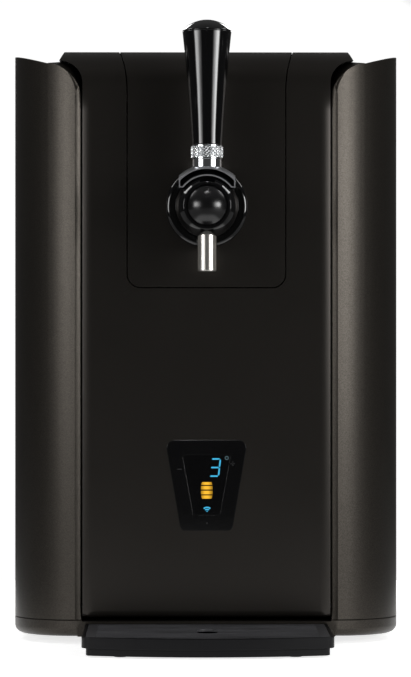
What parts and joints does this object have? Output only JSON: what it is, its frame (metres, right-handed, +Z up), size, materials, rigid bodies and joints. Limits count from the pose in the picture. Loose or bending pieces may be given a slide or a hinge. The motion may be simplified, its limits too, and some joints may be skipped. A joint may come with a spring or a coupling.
{
  "type": "mini keg beer dispenser",
  "caption": "Upright cooled beer dispenser for a small keg, with a drop-down front door, a hinged lid that carries a tap, a lit display and a pull-out drip tray.",
  "frame": {"origin": "on the table, under the middle of the box around the machine, tray included", "axes": "+Z up, the tap and tray face -Y, the machine is symmetric left to right about X = 0 outside"},
  "size_m": [0.28, 0.46, 0.4466],
  "materials": {
    "graphite_plastic": "satin metallic graphite, fine flake",
    "dark_plastic": "satin near-black",
    "black_plastic": "matt black",
    "gloss_black": "high gloss black",
    "smoked_window": "smoked, glossy",
    "tray_plastic": "satin bluish dark grey",
    "pale_plastic": "smooth white, slightly glossy",
    "foam": "closed-cell foam",
    "black_rubber": "matt",
    "clear_hose": "milky silicone",
    "steel": "fine turned and brushed",
    "steel_wire": "plated",
    "chrome_metal": "polished",
    "painted_steel": "fine-grained powder coat",
    "bare_aluminium": "milled",
    "ceramic_plate": "unglazed",
    "white_nylon": "moulded nylon",
    "circuit_board": "green solder mask",
    "magnet": "nickel plated"
  },
  "bodies": {
    "machine": {"base_pan": "graphite_plastic", "rubber_feet": "black_rubber", "right_side_panel": "graphite_plastic", "left_side_panel": "graphite_plastic", "top_cover": "dark_plastic", "front_frame": "dark_plastic", "frame_magnets": "magnet", "chamber_liner": "pale_plastic", "foam_jacket": "foam", "keg_rest": "pale_plastic", "cold_block": "bare_aluminium", "peltier_module": "ceramic_plate", "heat_sink": "bare_aluminium", "sink_spacers": "white_nylon", "fan_frame": "dark_plastic", "rear_panel": "painted_steel", "fan_guard": "steel_wire", "door_hinge_pins": "steel", "door_hinge_brackets": "painted_steel", "lid_hinge_pins": "steel", "temperature_sensor": "steel", "air_coupler": "white_nylon", "air_hose": "clear_hose", "air_pump": "dark_plastic", "power_supply": "bare_aluminium", "board_standoffs": "white_nylon", "control_board": "circuit_board", "power_inlet": "black_plastic", "switch_housing": "black_plastic", "rear_panel_screws": "steel", "fan_screws": "steel"},
    "door": {"front_door": "dark_plastic", "door_liner": "pale_plastic", "door_foam": "foam", "door_magnets": "magnet", "door_gasket": "black_rubber", "display_bezel": "gloss_black", "display_window": "smoked_window", "display_board": "circuit_board"},
    "lid": {"lid_shell": "dark_plastic", "lid_liner": "pale_plastic", "lid_foam": "foam", "tap_drum": "gloss_black", "tap_body": "gloss_black", "tap_nut": "steel", "tap_ring": "gloss_black", "tap_dome": "gloss_black", "spout": "steel", "lever_pin": "steel"},
    "lever": {"tap_lever": "chrome_metal", "handle_stud": "steel", "handle_neck": "chrome_metal", "tap_handle": "gloss_black", "handle_cap": "gloss_black"},
    "collar": {"lock_collar": "steel"},
    "tray": {"drip_tray": "tray_plastic", "tray_pads": "black_rubber"},
    "plate": {"drip_plate": "tray_plastic"},
    "rotor": {"fan_rotor": "black_plastic"},
    "rocker": {"power_rocker": "black_plastic"}
  },
  "joints": [
    {"name": "door_hinge", "type": "hinge", "parent": "machine", "child": "door", "pos_m": [0, -0.105, 0.027], "axis": [1, 0, 0], "range_deg": [0, 85]},
    {"name": "lid_hinge", "type": "hinge", "parent": "machine", "child": "lid", "pos_m": [0, 0.105, 0.4205], "axis": [-1, 0, 0], "range_deg": [0, 65]},
    {"name": "tap_pivot", "type": "hinge", "parent": "lid", "child": "lever", "pos_m": [0, -0.145, 0.314], "axis": [1, 0, 0], "range_deg": [0, 32]},
    {"name": "collar_turn", "type": "hinge", "parent": "lever", "child": "collar", "pos_m": [0, -0.145, 0.3525], "axis": [0, 0, 1], "range_deg": [0, 90]},
    {"name": "tray_slide", "type": "slide", "parent": "machine", "child": "tray", "axis": [0, -1, 0], "range_m": [0, 0.06]},
    {"name": "plate_lift", "type": "slide", "parent": "tray", "child": "plate", "axis": [0, 0, -1], "range_m": [-0.03, 0]},
    {"name": "fan_spin", "type": "hinge", "parent": "machine", "child": "rotor", "pos_m": [0, 0.21, 0.2], "axis": [0, 1, 0], "continuous": true},
    {"name": "switch_rock", "type": "hinge", "parent": "machine", "child": "rocker", "pos_m": [-0.012, 0.2216, 0.044], "axis": [1, 0, 0], "range_deg": [0, 12]}
  ]
}
